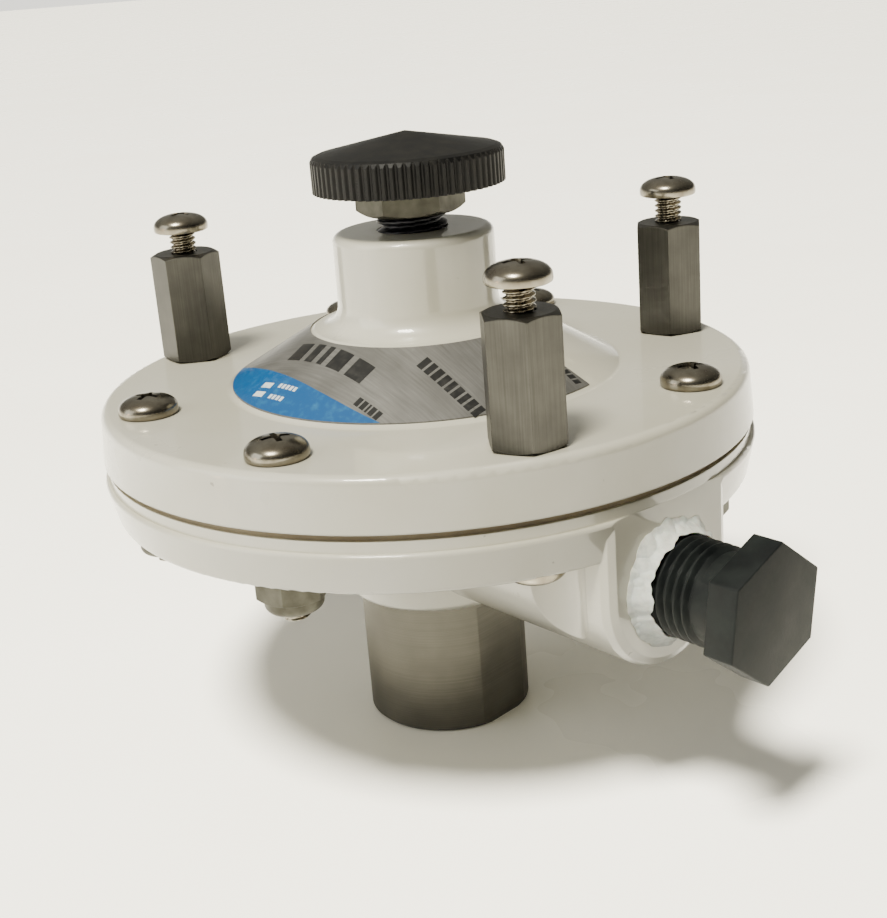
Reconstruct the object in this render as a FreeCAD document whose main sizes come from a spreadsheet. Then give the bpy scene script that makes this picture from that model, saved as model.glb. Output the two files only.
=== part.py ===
import FreeCAD, Part
import math
import os
import re
import Sketcher

# Low-pressure diaphragm regulator.  Millimetres, +Z up.  The origin is the centre of the
# inlet's mouth, on the face that the regulator stands on; the side outlet points along +X.

doc = FreeCAD.newDocument("Regulator")
sheet = doc.addObject("Spreadsheet::Sheet", "Sizes")

# ---------------------------------------------------------------- driving dimensions
SIZES = [
    # casing levels, measured up from the face that it stands on
    ("hub_bottom", 21.4),
    ("port_height", 33.5),
    ("lower_under", 39.4),
    ("ledge_height", 45.3),
    ("joint_low", 46.9),
    ("joint_high", 47.9),
    ("cover_top", 55.3),
    ("cone_top", 63.2),
    ("tower_top", 76.9),
    # casing radii
    ("flange_radius", 49.0),
    ("ledge_radius", 49.3),
    ("hub_radius", 14.7),
    ("cone_foot", 29.7),
    ("cone_head", 15.9),
    ("tower_radius", 12.05),
    ("chamber_radius", 34.0),
    ("tower_bore", 9.0),
    ("valve_bore", 8.0),
    # eight-hole flange
    ("bolt_circle", 83.6),
    ("hole_radius", 2.25),
    ("hole_count", 8),
    # number 8 machine screws, their nuts and the hexagonal standoffs
    ("screw_radius", 2.08),
    ("head_radius", 4.3),
    ("head_height", 2.8),
    ("nut_flats", 8.73),
    ("nut_height", 5.2),
    ("standoff_flats", 9.525),
    ("standoff_height", 17.3),
    # side outlet, its boss and its plug
    ("boss_reach", 47.9),
    ("boss_radius", 12.1),
    ("scallop_radius", 6.5),
    ("plug_thread", 6.95),
    ("plug_neck", 6.3),
    ("plug_flats", 16.6),
    ("plug_hex_back", 60.2),
    ("plug_hex_front", 64.7),
    # inlet fitting and valve
    ("fitting_radius", 12.8),
    ("inlet_radius", 7.3),
    ("inlet_depth", 13.0),
    ("seat_radius", 5.0),
    ("seat_top", 29.4),
    ("seat_low", 25.4),
    ("orifice_radius", 2.2),
    ("stem_radius", 1.2),
    ("poppet_radius", 3.6),
    ("poppet_low", 21.9),
    # diaphragm and its plates
    ("membrane", 0.8),
    ("centre_low", 49.3),
    ("plate_radius", 21.0),
    ("bolt_head_low", 45.3),
    # adjuster
    ("screw_major", 5.25),
    ("thread_pitch", 1.5),
    ("thread_depth", 0.9),
    ("button_low", 66.0),
    ("button_top", 68.5),
    ("jam_flats", 14.0),
    ("jam_low", 79.3),
    ("jam_top", 83.05),
    ("knob_radius", 14.15),
    ("knob_low", 83.1),
    ("knob_rim", 88.4),
    ("knob_peak", 91.0),
    ("knob_flutes", 72),
    # nameplate foil
    ("foil", 0.2),
]
for row, (alias, value) in enumerate(SIZES, start=1):
    sheet.set(f"A{row}", alias)
    sheet.set(f"B{row}", str(value))
    sheet.setAlias(f"B{row}", alias)
doc.recompute()


def bound(text):
    """The expression with every dimension's name pointing at the sheet."""
    return re.sub(r"\b(?!sqrt\b)[a-z][a-z_]+\b", r"Sizes.\g<0>", text)


def size(text):
    """The present value of an expression in the sheet's dimensions."""
    return float(sheet.evalExpression(bound(text)))


# ---------------------------------------------------------------- sketches and features
def new_body(label):
    body = doc.addObject("PartDesign::Body", label)
    body.Label = label
    return body


def origin_feature(body, role):
    return next(f for f in body.Origin.OriginFeatures if f.Role == role)


def new_sketch(body, name, role="XZ_Plane", offset="0"):
    sketch = body.newObject("Sketcher::SketchObject", f"{body.Label}_{name}")
    sketch.AttachmentSupport = (origin_feature(body, role), [""])
    sketch.MapMode = "FlatFace"
    if offset != "0":
        sketch.setExpression("AttachmentOffset.Base.z", bound(offset))
    return sketch


def fix_point(sketch, geometry, end, where):
    """Ties a point of the sketch to two expressions, its distances from the sketch's axes."""
    for kind, axis, text in (("DistanceX", -2, where[0]), ("DistanceY", -1, where[1])):
        value = size(text)
        if abs(value) < 1e-9:
            sketch.addConstraint(Sketcher.Constraint("PointOnObject", geometry, end, axis))
        else:
            index = sketch.addConstraint(Sketcher.Constraint(kind, -1, 1, geometry, end, value))
            sketch.setExpression(f"Constraints[{index}]", bound(text))


def outline(sketch, points):
    """Closed run of straight lines through points given as pairs of expressions."""
    spots = [FreeCAD.Vector(size(a), size(b), 0) for a, b in points]
    count = len(points)
    first = sketch.GeometryCount
    for i in range(count):
        sketch.addGeometry(Part.LineSegment(spots[i], spots[(i + 1) % count]), False)
    for i in range(count):
        following = first + (i + 1) % count
        sketch.addConstraint(Sketcher.Constraint("Coincident", first + i, 2, following, 1))
    for i, where in enumerate(points):
        fix_point(sketch, first + i, 1, where)


def circle(sketch, radius, centre=("0", "0")):
    spot = FreeCAD.Vector(size(centre[0]), size(centre[1]), 0)
    index = sketch.addGeometry(Part.Circle(spot, FreeCAD.Vector(0, 0, 1), size(radius)), False)
    fix_point(sketch, index, 3, centre)
    radius_index = sketch.addConstraint(Sketcher.Constraint("Radius", index, size(radius)))
    sketch.setExpression(f"Constraints[{radius_index}]", bound(radius))


def hexagon(sketch, flats, phase=0):
    """Regular hexagon, its corners on the sketch's X axis, or on its Y axis for phase 1."""
    far, near, side = f"({flats})/sqrt(3)", f"({flats})/(2*sqrt(3))", f"({flats})/2"
    corners = [
        (far, "0"),
        (near, side),
        (f"-{near}", side),
        (f"-{far}", "0"),
        (f"-{near}", f"-{side}"),
        (near, f"-{side}"),
    ]
    outline(sketch, [(b, a) for a, b in reversed(corners)] if phase else corners)


def turn(body, name, points, cut=False, role="XZ_Plane"):
    """Revolves a profile of (radius, height) points about the body's Z axis."""
    sketch = new_sketch(body, f"{name}_profile", role)
    outline(sketch, points)
    kind = "PartDesign::Groove" if cut else "PartDesign::Revolution"
    feature = body.newObject(kind, f"{body.Label}_{name}")
    feature.Profile = sketch
    feature.ReferenceAxis = (sketch, ["V_Axis"])
    feature.Angle = 360
    return feature


def pad(body, name, sketch, length, back=False):
    feature = body.newObject("PartDesign::Pad", f"{body.Label}_{name}")
    feature.Profile = sketch
    feature.Type = 0
    feature.setExpression("Length", bound(length))
    feature.Reversed = back
    return feature


def pocket(body, name, sketch, length=None, back=False):
    """Cuts to a depth, or right through both ways, and makes sure that it removed something."""
    doc.recompute()
    before = body.Shape.Volume
    feature = body.newObject("PartDesign::Pocket", f"{body.Label}_{name}")
    feature.Profile = sketch
    feature.Reversed = back
    if length is None:
        feature.Type = 1
        feature.Midplane = True
    else:
        feature.Type = 0
        feature.setExpression("Length", bound(length))
    doc.recompute()
    if not feature.Shape.Volume < before - 1e-6:
        raise RuntimeError(f"{feature.Label} removed nothing")
    return feature


def pattern(body, original, count):
    feature = body.newObject("PartDesign::PolarPattern", f"{original.Name}_ring")
    feature.Originals = [original]
    feature.Axis = (origin_feature(body, "Z_Axis"), [""])
    feature.Angle = 360
    feature.setExpression("Occurrences", bound(count))
    body.Tip = feature
    return feature


def rings(shape, radius, height):
    """Names of the shape's circular edges about Z at one radius and height."""
    found = []
    for number, edge in enumerate(shape.Edges, start=1):
        curve = edge.Curve
        if not isinstance(curve, Part.Circle):
            continue
        level = abs(edge.Vertexes[0].Point.z - height) < 0.02 and abs(abs(curve.Axis.z) - 1) < 1e-6
        if level and abs(curve.Radius - radius) < 0.02:
            found.append(f"Edge{number}")
    return found


def round_rings(body, name, spots, radius):
    """Fillets the circular edges about Z at the given (radius, height) spots."""
    doc.recompute()
    base = body.Tip
    names = []
    for r, z in spots:
        names += rings(base.Shape, size(r), size(z))
    if not names:
        raise RuntimeError(f"{body.Label} {name} found no edge")
    feature = body.newObject("PartDesign::Fillet", f"{body.Label}_{name}")
    feature.Base = (base, names)
    feature.setExpression("Radius", bound(radius))
    return feature


def turn_about_z(body, degrees):
    rotation = FreeCAD.Rotation(FreeCAD.Vector(0, 0, 1), degrees)
    body.Placement = FreeCAD.Placement(FreeCAD.Vector(0, 0, 0), rotation)


def at_hole(body, angle, height, flip=False, twist=0.0):
    """Puts a body on the bolt circle at an angle from the outlet, in degrees."""
    reach = size("bolt_circle/2")
    spot = FreeCAD.Vector(
        reach * math.cos(math.radians(angle)), reach * math.sin(math.radians(angle)), size(height)
    )
    rotation = FreeCAD.Rotation(FreeCAD.Vector(0, 0, 1), angle + twist)
    if flip:
        rotation = rotation.multiply(FreeCAD.Rotation(FreeCAD.Vector(1, 0, 0), 180))
    body.Placement = FreeCAD.Placement(spot, rotation)


def bolt_holes(body):
    """Eight holes round the flange, the outlet midway between two of them."""
    half_step = 180.0 / size("hole_count")
    sketch = new_sketch(body, "bolt_hole", "XY_Plane")
    reach = size("bolt_circle/2")
    spot = FreeCAD.Vector(
        reach * math.cos(math.radians(half_step)), reach * math.sin(math.radians(half_step)), 0
    )
    up = FreeCAD.Vector(0, 0, 1)
    hole = sketch.addGeometry(Part.Circle(spot, up, size("hole_radius")), False)
    arm = sketch.addGeometry(Part.LineSegment(FreeCAD.Vector(0, 0, 0), spot), True)
    sketch.addConstraint(Sketcher.Constraint("Coincident", arm, 1, -1, 1))
    sketch.addConstraint(Sketcher.Constraint("Coincident", arm, 2, hole, 3))
    sketch.addConstraint(Sketcher.Constraint("Angle", -1, 1, arm, 1, math.radians(half_step)))
    length = sketch.addConstraint(Sketcher.Constraint("Distance", arm, reach))
    sketch.setExpression(f"Constraints[{length}]", bound("bolt_circle/2"))
    radius = sketch.addConstraint(Sketcher.Constraint("Radius", hole, size("hole_radius")))
    sketch.setExpression(f"Constraints[{radius}]", bound("hole_radius"))
    drilled = pocket(body, "bolt_hole_cut", sketch)
    pattern(body, drilled, "hole_count")


# ---------------------------------------------------------------- upper cover
# One casting: a flange, a shallow cone that carries the nameplate, and a tower for the spring.
cover = new_body("upper_cover")
turn(cover, "shell", [
    ("0", "joint_high"),
    ("flange_radius", "joint_high"),
    ("flange_radius - 0.6", "cover_top"),
    ("cone_foot", "cover_top"),
    ("cone_head", "cone_top"),
    ("tower_radius", "cone_top"),
    ("tower_radius - 0.1", "tower_top"),
    ("0", "tower_top"),
])
round_rings(cover, "flange_edge", [("flange_radius - 0.6", "cover_top")], "1.3")
round_rings(cover, "tower_foot", [("tower_radius", "cone_top")], "3.4")
round_rings(cover, "tower_edge", [("tower_radius - 0.1", "tower_top")], "1.2")
round_rings(cover, "cone_foot_edge", [("cone_foot", "cover_top")], "1.0")
turn(cover, "spring_chamber", [
    ("0", "joint_high - 1"),
    ("chamber_radius", "joint_high - 1"),
    ("chamber_radius", "joint_high + 3.3"),
    ("cone_foot - 2", "joint_high + 4.2"),
    ("cone_head - 1.5", "cone_top - 3.4"),
    ("tower_bore", "cone_top - 1"),
    ("tower_bore", "tower_top - 4.4"),
    ("0", "tower_top - 4.4"),
], cut=True)
screw_way = new_sketch(cover, "screw_way", "XY_Plane")
circle(screw_way, "screw_major + 0.05")
pocket(cover, "screw_way_cut", screw_way)
bolt_holes(cover)

# ---------------------------------------------------------------- nameplate
# Thin foil bent round the cone, from one square end to the other.
FOIL_START, FOIL_END = -159.5, 13.0
slope = size("(cone_top - cover_top)/(cone_foot - cone_head)")
inner = size("cone_head + 0.6")
outer = size("cone_foot - 0.75")


def cone_height(radius):
    return size("cover_top") + slope * (size("cone_foot") - radius)


thickness = size("foil")
lift = thickness * math.sqrt(1 + slope * slope)
corners = [
    FreeCAD.Vector(inner, 0, cone_height(inner)),
    FreeCAD.Vector(outer, 0, cone_height(outer)),
    FreeCAD.Vector(outer, 0, cone_height(outer) + lift),
    FreeCAD.Vector(inner, 0, cone_height(inner) + lift),
]
strip = Part.Face(Part.makePolygon(corners + corners[:1]))
strip.rotate(FreeCAD.Vector(0, 0, 0), FreeCAD.Vector(0, 0, 1), FOIL_START)
nameplate = doc.addObject("Part::Feature", "nameplate")
nameplate.Label = "nameplate"
nameplate.Shape = strip.revolve(
    FreeCAD.Vector(0, 0, 0), FreeCAD.Vector(0, 0, 1), FOIL_END - FOIL_START
)
nameplate.Placement = FreeCAD.Placement()

# ---------------------------------------------------------------- lower casing
# One casting: a flange with a shallow ledge, a central hub and an arm that ends in the outlet.
casing = new_body("lower_casing")
turn(casing, "bowl", [
    ("0", "hub_bottom"),
    ("hub_radius", "hub_bottom"),
    ("hub_radius + 0.8", "lower_under - 5"),
    ("hub_radius + 7", "lower_under"),
    ("ledge_radius - 1.3", "lower_under"),
    ("ledge_radius", "ledge_height"),
    ("flange_radius - 0.5", "ledge_height"),
    ("flange_radius - 0.4", "joint_low"),
    ("0", "joint_low"),
], role="YZ_Plane")
round_rings(casing, "flange_under_edge", [("ledge_radius - 1.3", "lower_under")], "0.9")
round_rings(casing, "ledge_edge", [("ledge_radius", "ledge_height")], "0.5")
round_rings(casing, "hub_edge", [("hub_radius", "hub_bottom")], "0.8")


def half_round(name, radius, reach):
    """Section of the arm: half round below the outlet's axis and straight up to the flange."""
    sketch = new_sketch(casing, name, "YZ_Plane", reach)
    r, axis, top = size(radius), size("port_height"), size("ledge_height - 0.3")
    up = FreeCAD.Vector(0, 0, 1)
    centre = FreeCAD.Vector(0, axis, 0)
    arc = sketch.addGeometry(
        Part.ArcOfCircle(Part.Circle(centre, up, r), math.pi, 2 * math.pi), False
    )
    right = sketch.addGeometry(
        Part.LineSegment(FreeCAD.Vector(r, axis, 0), FreeCAD.Vector(r, top, 0)), False
    )
    roof = sketch.addGeometry(
        Part.LineSegment(FreeCAD.Vector(r, top, 0), FreeCAD.Vector(-r, top, 0)), False
    )
    left = sketch.addGeometry(
        Part.LineSegment(FreeCAD.Vector(-r, top, 0), FreeCAD.Vector(-r, axis, 0)), False
    )
    for a, b in ((right, roof), (roof, left)):
        sketch.addConstraint(Sketcher.Constraint("Coincident", a, 2, b, 1))
    sketch.addConstraint(Sketcher.Constraint("Coincident", left, 2, arc, 1))
    sketch.addConstraint(Sketcher.Constraint("Coincident", arc, 2, right, 1))
    sketch.addConstraint(Sketcher.Constraint("Vertical", right))
    sketch.addConstraint(Sketcher.Constraint("Vertical", left))
    sketch.addConstraint(Sketcher.Constraint("Horizontal", roof))
    fix_point(sketch, arc, 3, ("0", "port_height"))
    fix_point(sketch, arc, 2, (radius, "port_height"))
    level = sketch.addConstraint(Sketcher.Constraint("DistanceY", -1, 1, roof, 1, top))
    sketch.setExpression(f"Constraints[{level}]", bound("ledge_height - 0.3"))
    return sketch


pad(casing, "arm", half_round("arm_section", "boss_radius", "4"), "boss_reach - 5.6")
rim = casing.newObject("PartDesign::AdditiveLoft", "lower_casing_rim")
rim.Profile = half_round("rim_start", "boss_radius", "boss_reach - 1.6")
rim.Sections = [
    half_round("rim_middle", "boss_radius - 0.45", "boss_reach - 0.5"),
    half_round("rim_end", "boss_radius - 1.5", "boss_reach"),
]
rim.Ruled = True
# The outlet's flat face is carried up through the flange's edge as far as the ledge.
facing = new_sketch(casing, "facing", "YZ_Plane", "boss_reach + 3")
outline(facing, [
    ("-boss_radius", "lower_under - 1"),
    ("boss_radius", "lower_under - 1"),
    ("boss_radius", "ledge_height"),
    ("-boss_radius", "ledge_height"),
])
pocket(casing, "facing_cut", facing, "3")
# Scallops up both sides of the arm clear the heads and nuts of the two screws beside it.
half_step = math.pi / size("hole_count")
scallops = new_sketch(casing, "scallops", "XY_Plane", "lower_under")
for side in ("", "-"):
    circle(scallops, "scallop_radius", (
        f"bolt_circle/2*{math.cos(half_step):.6f}", f"{side}bolt_circle/2*{math.sin(half_step):.6f}"
    ))
pocket(casing, "scallops_cut", scallops, "lower_under - port_height + boss_radius + 1")
turn(casing, "outlet_chamber", [
    ("0", "seat_top"),
    ("valve_bore + 1", "seat_top"),
    ("valve_bore + 1", "joint_low - 4"),
    ("chamber_radius", "joint_low - 3.2"),
    ("chamber_radius", "joint_low + 1"),
    ("0", "joint_low + 1"),
], cut=True, role="YZ_Plane")
spigot_bore = new_sketch(casing, "spigot_bore", "XY_Plane", "hub_bottom - 1")
circle(spigot_bore, "valve_bore")
pocket(casing, "spigot_bore_cut", spigot_bore, "seat_top - hub_bottom + 2", back=True)
outlet = new_sketch(casing, "outlet", "YZ_Plane", "boss_reach + 1")
circle(outlet, "plug_thread", ("0", "port_height"))
pocket(casing, "outlet_thread", outlet, "12")
passage = new_sketch(casing, "passage", "YZ_Plane", "boss_reach - 10")
circle(passage, "3", ("0", "port_height"))
pocket(casing, "passage_cut", passage, "boss_reach - 10")
bolt_holes(casing)

# ---------------------------------------------------------------- diaphragm
# Reinforced rubber sheet with one convolution, clamped between the flanges.
diaphragm = new_body("diaphragm")
turn(diaphragm, "sheet", [
    ("2.1", "centre_low"),
    ("plate_radius + 1.5", "centre_low"),
    ("plate_radius + 4", "centre_low + 0.9"),
    ("plate_radius + 6.5", "centre_low + 0.7"),
    ("chamber_radius - 1.8", "joint_low"),
    ("flange_radius - 0.9", "joint_low"),
    ("flange_radius - 0.9", "joint_high"),
    ("chamber_radius - 1.2", "joint_high"),
    ("plate_radius + 7", "centre_low + 1.7"),
    ("plate_radius + 3.6", "centre_low + 1.9"),
    ("plate_radius + 1.1", "centre_low + membrane"),
    ("2.1", "centre_low + membrane"),
])
bolt_holes(diaphragm)

# ---------------------------------------------------------------- diaphragm plates, bolt and nut
lower_plate = new_body("lower_plate")
turn(lower_plate, "dish", [
    ("2.1", "centre_low - 1.2"),
    ("plate_radius - 2", "centre_low - 1.2"),
    ("plate_radius - 1", "centre_low"),
    ("2.1", "centre_low"),
])
upper_plate = new_body("upper_plate")
turn(upper_plate, "dish", [
    ("2.1", "centre_low + membrane"),
    ("plate_radius", "centre_low + membrane"),
    ("plate_radius", "centre_low + membrane + 1.4"),
    ("8.6", "centre_low + membrane + 1.4"),
    ("8.6", "centre_low + membrane + 2.2"),
    ("7.9", "centre_low + membrane + 2.2"),
    ("7.9", "centre_low + membrane + 1.2"),
    ("2.1", "centre_low + membrane + 1.2"),
])
centre_bolt = new_body("diaphragm_bolt")
bolt_head = new_sketch(centre_bolt, "head", "XY_Plane", "bolt_head_low")
hexagon(bolt_head, "7")
pad(centre_bolt, "head_block", bolt_head, "centre_low - 1.2 - bolt_head_low")
shank = new_sketch(centre_bolt, "shank", "XY_Plane", "bolt_head_low + 1")
circle(shank, "2.1")
pad(centre_bolt, "shank_rod", shank, "centre_low - bolt_head_low + membrane + 3.8")
centre_nut = new_body("diaphragm_nut")
nut_block = new_sketch(centre_nut, "block", "XY_Plane", "centre_low + membrane + 1.2")
hexagon(nut_block, "7")
circle(nut_block, "2.1")
pad(centre_nut, "block_pad", nut_block, "2.8")


# ---------------------------------------------------------------- springs
def coil(label, wire, mean, low, high, turns):
    """Round wire wound about Z between two levels, with its ends clear of what it bears on."""
    body = new_body(label)
    sketch = new_sketch(body, "wire")
    circle(sketch, wire, (mean, f"{low} + {wire}"))
    feature = body.newObject("PartDesign::AdditiveHelix", f"{label}_coil")
    feature.Profile = sketch
    feature.ReferenceAxis = (sketch, ["V_Axis"])
    feature.Mode = 2
    feature.Turns = turns
    feature.setExpression("Height", bound(f"{high} - ({low}) - 2*{wire}"))
    return body


coil("range_spring", "0.75", "6.7", "centre_low + membrane + 1.25", "button_low - 0.05", 5.0)
coil("valve_spring", "0.3", "2.9", "inlet_depth + 4.55", "poppet_low - 0.05", 4.0)

# ---------------------------------------------------------------- spring button
button = new_body("spring_button")
turn(button, "disc", [
    ("0", "button_low - 3"),
    ("5.2", "button_low - 3"),
    ("5.6", "button_low"),
    ("tower_bore - 0.6", "button_low"),
    ("tower_bore - 0.6", "button_top"),
    ("0", "button_top"),
])

# ---------------------------------------------------------------- adjusting screw
# Coarse thread, its ridges at the pitch, and a plain shank moulded into the knob.
adjuster = new_body("adjusting_screw")
root = "screw_major - thread_depth"
thread_points = [("0", "button_top + 0.05"), ("screw_major - 2", "button_top + 0.05")]
thread_low = size("button_top + 1")
for ridge in range(int((size("knob_low") - thread_low) / size("thread_pitch"))):
    foot = f"button_top + 1 + {ridge}*thread_pitch"
    thread_points += [
        (root, foot),
        ("screw_major", f"{foot} + 0.42*thread_pitch"),
        ("screw_major", f"{foot} + 0.55*thread_pitch"),
        (root, f"{foot} + 0.97*thread_pitch"),
    ]
thread_points += [(root, "knob_low + 4"), ("0", "knob_low + 4")]
turn(adjuster, "thread", thread_points)


# ---------------------------------------------------------------- hexagons
def bevel(body, name, flats, level, rise):
    """Turns the corners off a hexagon's end; rise is +1 at its top and -1 at its bottom."""
    inner = f"({flats})/2 - 0.25"
    outer = f"({flats})*0.62"
    drop = f"({level}) - {rise}*0.3*({flats})*0.24"
    turn(body, name, [(inner, level), (outer, level), (outer, drop)], cut=True)


# ---------------------------------------------------------------- jam nut
jam_nut = new_body("jam_nut")
jam_block = new_sketch(jam_nut, "block", "XY_Plane", "jam_low")
hexagon(jam_block, "jam_flats")
pad(jam_nut, "block_pad", jam_block, "jam_top - jam_low")
jam_bore = new_sketch(jam_nut, "bore", "XY_Plane", "jam_low")
circle(jam_bore, "screw_major + 0.05")
pocket(jam_nut, "bore_cut", jam_bore)
bevel(jam_nut, "low_bevel", "jam_flats", "jam_low", -1)
bevel(jam_nut, "top_bevel", "jam_flats", "jam_top", 1)
turn_about_z(jam_nut, -9.5)

# ---------------------------------------------------------------- knob
# Moulded knob: a fluted rim, a shallow pointed top and a socket for the screw's shank.
knob = new_body("knob")
fluted = new_sketch(knob, "fluted_rim", "XY_Plane", "knob_low")
teeth = int(size("knob_flutes"))
flute_points = []
for i in range(teeth):
    for share, radius in ((0.0, size("knob_radius")), (0.35, size("knob_radius")),
                          (0.6, size("knob_radius - 0.35")), (0.8, size("knob_radius - 0.35"))):
        angle = 2 * math.pi * (i + share) / teeth
        flute_points.append(FreeCAD.Vector(radius * math.cos(angle), radius * math.sin(angle), 0))
for i, point in enumerate(flute_points):
    end = flute_points[(i + 1) % len(flute_points)]
    fluted.addGeometry(Part.LineSegment(point, end), False)
pad(knob, "rim", fluted, "knob_rim - knob_low")
turn(knob, "rim_round", [
    ("knob_radius - 1.1", "knob_rim"),
    ("knob_radius + 1", "knob_rim"),
    ("knob_radius + 1", "knob_rim - 1.8"),
    ("knob_radius", "knob_rim - 0.9"),
    ("knob_radius - 0.35", "knob_rim - 0.3"),
], cut=True)
turn(knob, "point", [
    ("0", "knob_rim - 0.5"),
    ("knob_radius - 1.1", "knob_rim - 0.5"),
    ("knob_radius - 1.1", "knob_rim"),
    ("0", "knob_peak"),
])
turn(knob, "socket", [
    ("0", "knob_low - 1"),
    (root, "knob_low - 1"),
    (root, "knob_low + 4"),
    ("0", "knob_low + 4"),
], cut=True)


# ---------------------------------------------------------------- fasteners
def pan_screw(label, length):
    """Pan-head cross-recess machine screw, its head resting on z = 0 and its shank below."""
    body = new_body(label)
    head = new_sketch(body, "head", "XY_Plane")
    circle(head, "head_radius")
    pad(body, "head_pad", head, "head_height")
    round_rings(body, "head_round", [("head_radius", "head_height")], "head_height*0.72")
    stem = new_sketch(body, "stem", "XY_Plane")
    circle(stem, "screw_radius")
    pad(body, "stem_pad", stem, length, back=True)
    doc.recompute()
    cross = new_sketch(body, "cross", "XY_Plane", "head_height")
    arm, waist = "head_radius*0.5", "head_radius*0.12"
    outline(cross, [
        (arm, waist), (waist, waist), (waist, arm), (f"-{waist}", arm), (f"-{waist}", waist),
        (f"-{arm}", waist), (f"-{arm}", f"-{waist}"), (f"-{waist}", f"-{waist}"),
        (f"-{waist}", f"-{arm}"), (waist, f"-{arm}"), (waist, f"-{waist}"), (arm, f"-{waist}"),
    ])
    pocket(body, "cross_cut", cross, "head_height*0.55")
    return body


def lock_nut(label):
    """Nylon-insert lock nut, hexagon at z = 0 and its rounded collar above it."""
    body = new_body(label)
    block = new_sketch(body, "block", "XY_Plane")
    hexagon(block, "nut_flats")
    pad(body, "block_pad", block, "nut_height*0.66")
    bevel(body, "bevel", "nut_flats", "nut_height*0.66", 1)
    collar = new_sketch(body, "collar", "XY_Plane", "nut_height*0.5")
    circle(collar, "nut_flats*0.46")
    pad(body, "collar_pad", collar, "nut_height*0.5")
    round_rings(body, "collar_round", [("nut_flats*0.46", "nut_height")], "nut_height*0.2")
    bore = new_sketch(body, "bore", "XY_Plane")
    circle(bore, "screw_radius")
    pocket(body, "bore_cut", bore)
    return body


# Angles are from the outlet, in degrees.  Five holes hold screws, three hold standoffs.
hole_step = 360.0 / size("hole_count")
hole_angles = [hole_step * (i + 0.5) for i in range(int(size("hole_count")))]
STANDOFF_HOLES = (1, 4, 7)
SCREW_TWISTS = (12.0, 40.0, 65.0, 25.0, 80.0)
screw_holes = [a for i, a in enumerate(hole_angles) if i not in STANDOFF_HOLES]
for number, (angle, twist) in enumerate(zip(screw_holes, SCREW_TWISTS), start=1):
    flange_screw = pan_screw(f"flange_screw_{number}", "cover_top - lower_under + nut_height + 1.6")
    at_hole(flange_screw, angle, "cover_top", twist=twist)
    flange_nut = lock_nut(f"flange_nut_{number}")
    at_hole(flange_nut, angle, "lower_under", flip=True, twist=twist * 1.7)

# Each standoff stands on the cover.  A screw from below holds it, and one more is part of the
# way into its top, ready to take whatever the regulator is fixed to.
STANDOFF_TWISTS = (2.0, 32.3, -14.5)
SCREW_GAPS = ("4.1", "3.4", "3.4")
UNDER_LENGTH = "cover_top - lower_under + 5"
for number, hole in enumerate(STANDOFF_HOLES, start=1):
    angle, twist = hole_angles[hole], STANDOFF_TWISTS[number - 1]
    standoff = new_body(f"standoff_{number}")
    bar = new_sketch(standoff, "bar", "XY_Plane")
    hexagon(bar, "standoff_flats")
    pad(standoff, "bar_pad", bar, "standoff_height")
    bevel(standoff, "top_bevel", "standoff_flats", "standoff_height", 1)
    bevel(standoff, "low_bevel", "standoff_flats", "0", -1)
    tapped = new_sketch(standoff, "tapped", "XY_Plane")
    circle(tapped, "screw_radius")
    pocket(standoff, "tapped_cut", tapped)
    at_hole(standoff, angle, "cover_top", twist=twist)
    gap = SCREW_GAPS[number - 1]
    top_screw = pan_screw(f"standoff_screw_{number}", "10")
    at_hole(top_screw, angle, f"cover_top + standoff_height + {gap}", twist=twist + 30 * number)
    under_screw = pan_screw(f"under_screw_{number}", UNDER_LENGTH)
    at_hole(under_screw, angle, "lower_under", flip=True, twist=twist)

# ---------------------------------------------------------------- inlet fitting
# Round steel fitting that screws into the hub: a taper-threaded inlet below and the valve's
# chamber above it, with two flats for a wrench.
fitting = new_body("inlet_fitting")
turn(fitting, "barrel", [
    ("inlet_radius", "0"),
    ("fitting_radius - 0.5", "0"),
    ("fitting_radius", "0.5"),
    ("fitting_radius", "hub_bottom"),
    ("valve_bore", "hub_bottom"),
    ("valve_bore", "seat_top"),
    ("seat_radius", "seat_top"),
    ("seat_radius", "inlet_depth"),
    ("inlet_radius", "inlet_depth"),
])
flats = new_sketch(fitting, "flats", "XY_Plane")
for side in ("", "-"):
    outline(flats, [
        (f"{side}(fitting_radius - 0.9)", "-16"),
        (f"{side}(fitting_radius + 4)", "-16"),
        (f"{side}(fitting_radius + 4)", "16"),
        (f"{side}(fitting_radius - 0.9)", "16"),
    ])
pocket(fitting, "flats_cut", flats, "hub_bottom - 1.2", back=True)
turn_about_z(fitting, 5.0)

# ---------------------------------------------------------------- valve
seat = new_body("valve_seat")
turn(seat, "ring", [
    ("orifice_radius", "seat_low"),
    ("orifice_radius + 0.6", "seat_low"),
    ("orifice_radius + 1.1", "seat_low + 0.6"),
    ("seat_radius", "seat_low + 0.6"),
    ("seat_radius", "seat_top"),
    ("orifice_radius", "seat_top"),
])
poppet = new_body("valve_poppet")
turn(poppet, "stem_and_disc", [
    ("0", "poppet_low - 1.2"),
    ("2.2", "poppet_low - 1.2"),
    ("2.2", "poppet_low"),
    ("poppet_radius", "poppet_low"),
    ("poppet_radius", "seat_low - 1"),
    ("stem_radius", "seat_low - 1"),
    ("stem_radius", "bolt_head_low - 0.05"),
    ("0", "bolt_head_low - 0.05"),
])
disc = new_body("valve_disc")
turn(disc, "pad", [
    ("stem_radius", "seat_low - 1"),
    ("poppet_radius - 0.1", "seat_low - 1"),
    ("poppet_radius - 0.1", "seat_low - 0.02"),
    ("stem_radius", "seat_low - 0.02"),
])
retainer = new_body("spring_retainer")
turn(retainer, "ring", [
    ("2", "inlet_depth + 3"),
    ("seat_radius", "inlet_depth + 3"),
    ("seat_radius", "inlet_depth + 4.5"),
    ("2", "inlet_depth + 4.5"),
])

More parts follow.
